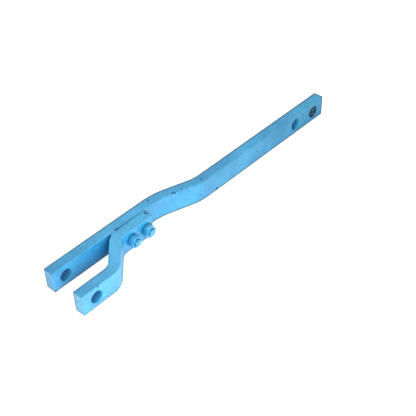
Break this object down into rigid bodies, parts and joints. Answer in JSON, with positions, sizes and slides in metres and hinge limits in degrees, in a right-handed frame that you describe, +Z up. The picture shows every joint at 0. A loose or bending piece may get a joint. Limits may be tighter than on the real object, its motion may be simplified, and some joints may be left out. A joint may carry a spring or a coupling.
{
  "type": "tractor drawbar",
  "caption": "Joggled flat-bar drawbar with a cranked strap bolted on to form a clevis, bored for a hitch pin at one end and tractor pivot pins at the other.",
  "frame": {"origin": "on the hitch pin's axis, midway across the clevis, at the middle of the bar's width", "axes": "+X along the bar towards the tractor end, +Z up as the bar lies on its narrow edge, -Y towards the clevis strap and along the hitch pin's hole"},
  "size_m": [0.9753, 0.145, 0.06],
  "materials": {
    "blue_enamel": "semi-gloss sky-blue enamel brushed over hot-rolled steel, chipped at the edges",
    "enamelled_fasteners": "the same enamel, painted over after assembly"
  },
  "bodies": {
    "bar": {"drawbar": "blue_enamel", "clevis_strap": "blue_enamel", "front_bolt": "enamelled_fasteners", "rear_bolt": "enamelled_fasteners"},
    "front_washer": {"front_lock_washer": "enamelled_fasteners"},
    "front_nut": {"front_nut": "enamelled_fasteners"},
    "rear_washer": {"rear_lock_washer": "enamelled_fasteners"},
    "rear_nut": {"rear_nut": "enamelled_fasteners"}
  },
  "joints": [
    {"name": "front_nut_travel", "type": "slide", "parent": "bar", "child": "front_washer", "axis": [0, -1, 0], "range_m": [0, 0.0125]},
    {"name": "front_nut_turn", "type": "hinge", "parent": "front_washer", "child": "front_nut", "pos_m": [0.18238, 0, 0.0015], "axis": [0, -1, 0], "range_deg": [0, 1800]},
    {"name": "rear_nut_travel", "type": "slide", "parent": "bar", "child": "rear_washer", "axis": [0, -1, 0], "range_m": [0, 0.0125]},
    {"name": "rear_nut_turn", "type": "hinge", "parent": "rear_washer", "child": "rear_nut", "pos_m": [0.23038, 0, 0.0015], "axis": [0, -1, 0], "range_deg": [0, 1800]}
  ],
  "couplings": [
    {"joint": "front_nut_travel", "follows": "front_nut_turn", "m_per_rad": 0.00039789},
    {"joint": "rear_nut_travel", "follows": "rear_nut_turn", "m_per_rad": 0.00039789}
  ]
}
